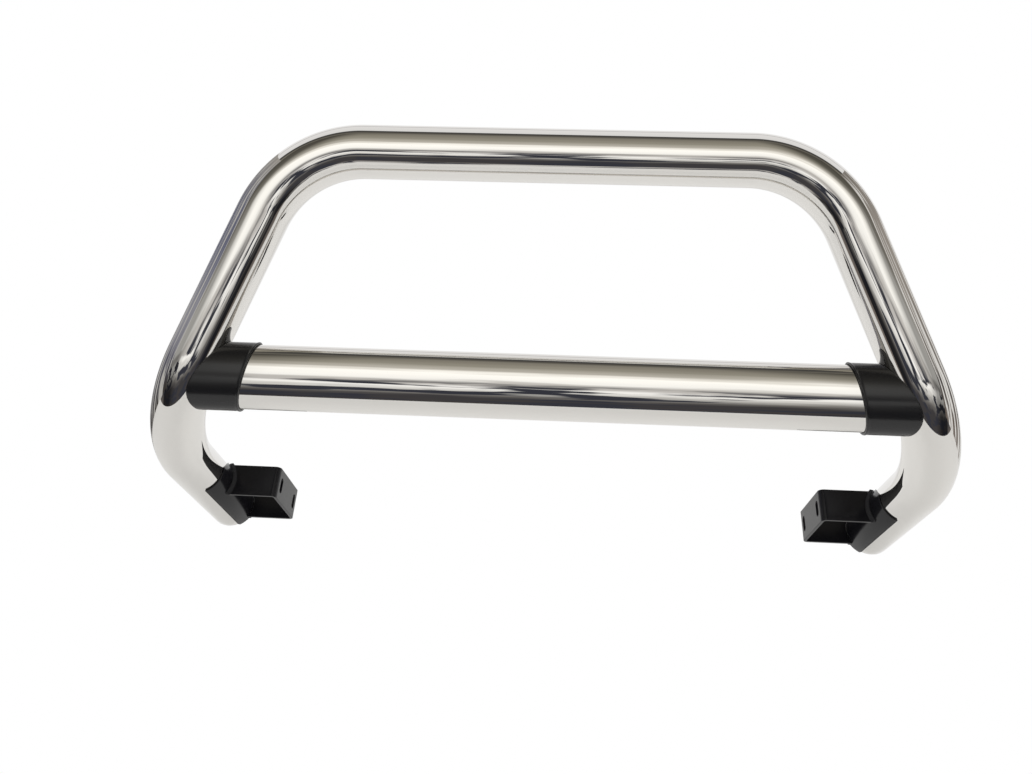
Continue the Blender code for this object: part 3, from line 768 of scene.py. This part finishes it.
side_out, side_near, side_low, side_high = 1.3, -0.67, -0.33, 1.2
left_bands = (
    (side_low, (0.05, 0.045, 0.04)), (0.0, (0.09, 0.09, 0.12)), (0.25, (0.3, 0.3, 0.34)),
    (0.5, (0.10, 0.11, 0.18)), (side_high, (0.35, 0.33, 0.3)),
)
left_glow = glowing("hall_at_left", left_bands, (1, 9, 2), (0, 0.2, 0), 0.5, (0.5, 0.49, 0.47), 1.3)
right_bands = (
    (side_low, (0.16, 0.13, 0.11)), (0.1, (0.08, 0.075, 0.075)), (0.4, (0.35, 0.32, 0.29)),
    (side_high, (0.2, 0.18, 0.16)),
)
right_glow = glowing("hall_at_right", right_bands, (1, 11, 2), (0, 0.7, 0), 0.5, (0.8, 0.79, 0.77), 1.3)
side_cards = []
for name, x, far, glow in (
    ("left_card", -side_out, 1.2, left_glow),
    ("right_card", side_out, 0.5, right_glow),
):
    card_corners = ((side_near, side_low), (far, side_low), (far, side_high), (side_near, side_high))
    card = flat_card(name, [(x, y, z) for y, z in card_corners])
    card.data.materials.append(glow)
    side_cards.append(card)
for card in [front_card] + side_cards:
    card.visible_camera = False

# The room beyond the cards glows by the pitch of the line of sight in degrees: 0 is level to the front, 90 is
# up and 180 is level to the back. Each stop is (pitch, colour).
room = bpy.data.worlds.new("room")
bpy.context.scene.world = room
room.use_nodes = True
tree = room.node_tree
tree.nodes.clear()
direction = tree.nodes.new("ShaderNodeTexCoord")
split = add_node(tree, "ShaderNodeSeparateXYZ", Vector=direction.outputs["Generated"])
toward = add_node(tree, "ShaderNodeMath", {"operation": "MULTIPLY"})
tree.links.new(split.outputs["Y"], toward.inputs[0])
toward.inputs[1].default_value = -1
pitch = add_node(tree, "ShaderNodeMath", {"operation": "ARCTAN2"})
tree.links.new(split.outputs["Z"], pitch.inputs[0])
tree.links.new(toward.outputs["Value"], pitch.inputs[1])
share = add_node(tree, "ShaderNodeMapRange", Value=pitch.outputs["Value"])
share.inputs["From Min"].default_value = -np.pi
share.inputs["From Max"].default_value = np.pi
bands = add_node(tree, "ShaderNodeValToRGB", Fac=share.outputs["Result"])
ramp = bands.color_ramp
stops = (
    (-180, (0.84, 0.835, 0.83)), (-124, (0.8, 0.79, 0.785)), (-120, (0.5, 0.49, 0.49)),
    (-116, (0.8, 0.79, 0.785)), (-62, (0.78, 0.77, 0.75)), (-56, (0.2, 0.17, 0.15)),
    (-34, (0.05, 0.05, 0.055)), (-4, (0.35, 0.33, 0.31)), (20, (0.30, 0.285, 0.25)),
    (66, (0.22, 0.205, 0.17)), (74, (0.1, 0.093, 0.08)), (83, (0.04, 0.04, 0.04)),
    (86, (0.82, 0.815, 0.81)), (118, (0.86, 0.85, 0.845)), (121, (0.3, 0.3, 0.3)),
    (124, (0.88, 0.87, 0.865)), (180, (0.92, 0.92, 0.92)),
)
ramp.elements[0].position, ramp.elements[1].position = 0, 1
for angle, _ in stops[1:-1]:
    ramp.elements.new((angle + 180) / 360)
for element, (_, colour) in zip(ramp.elements, stops):
    element.color = (*colour, 1)
seen = add_node(tree, "ShaderNodeBackground", Color=(1, 1, 1, 1), Strength=1.0)
mirrored_room = add_node(tree, "ShaderNodeBackground", Color=bands.outputs["Color"], Strength=1.0)
ray = tree.nodes.new("ShaderNodeLightPath")
choice = tree.nodes.new("ShaderNodeMixShader")
tree.links.new(ray.outputs["Is Camera Ray"], choice.inputs[0])
tree.links.new(mirrored_room.outputs["Background"], choice.inputs[1])
tree.links.new(seen.outputs["Background"], choice.inputs[2])
output = tree.nodes.new("ShaderNodeOutputWorld")
tree.links.new(choice.outputs["Shader"], output.inputs["Surface"])


def soft_light(name, place, aim, width, height, brightness):
    """A flat light that neither the camera nor the polish sees.

    Its watts are pi x area x the brightness of its face.
    """
    lamp = bpy.data.lights.new(name, "AREA")
    lamp.shape, lamp.size, lamp.size_y = "RECTANGLE", width, height
    lamp.energy = np.pi * width * height * brightness
    lamp = bpy.data.objects.new(name, lamp)
    bpy.context.scene.collection.objects.link(lamp)
    lamp.location = place
    lamp.rotation_euler = (Vector(aim) - Vector(place)).to_track_quat("-Z", "Y").to_euler()
    lamp.visible_camera = False
    lamp.visible_glossy = False


soft_light("overhead", (0, 1.1, 1.5), (0, 0.3, -0.3), 3.2, 1.2, 1.6)


# The camera stands 1.16 m in front of the tubes and 0.11 m below the guard's middle. It looks 3 degrees up
# and 3 to the left, rolled by 2, and its axes are given as its right, its up and its back.
camera = bpy.data.objects.new("camera", bpy.data.cameras.new("camera"))
bpy.context.scene.collection.objects.link(camera)
camera.data.lens = 29.58
camera.data.shift_x, camera.data.shift_y = 0.0015, -0.0074
camera.location = (0.0140, -1.3343, -0.1071)
camera_axes = Matrix(((0.9981, 0.0490, 0.0379), (-0.0354, -0.0506, 0.9981), (0.0508, -0.9975, -0.0487)))
camera.rotation_euler = camera_axes.transposed().to_euler()
bpy.context.scene.camera = camera
bpy.context.scene.view_settings.view_transform = "Standard"
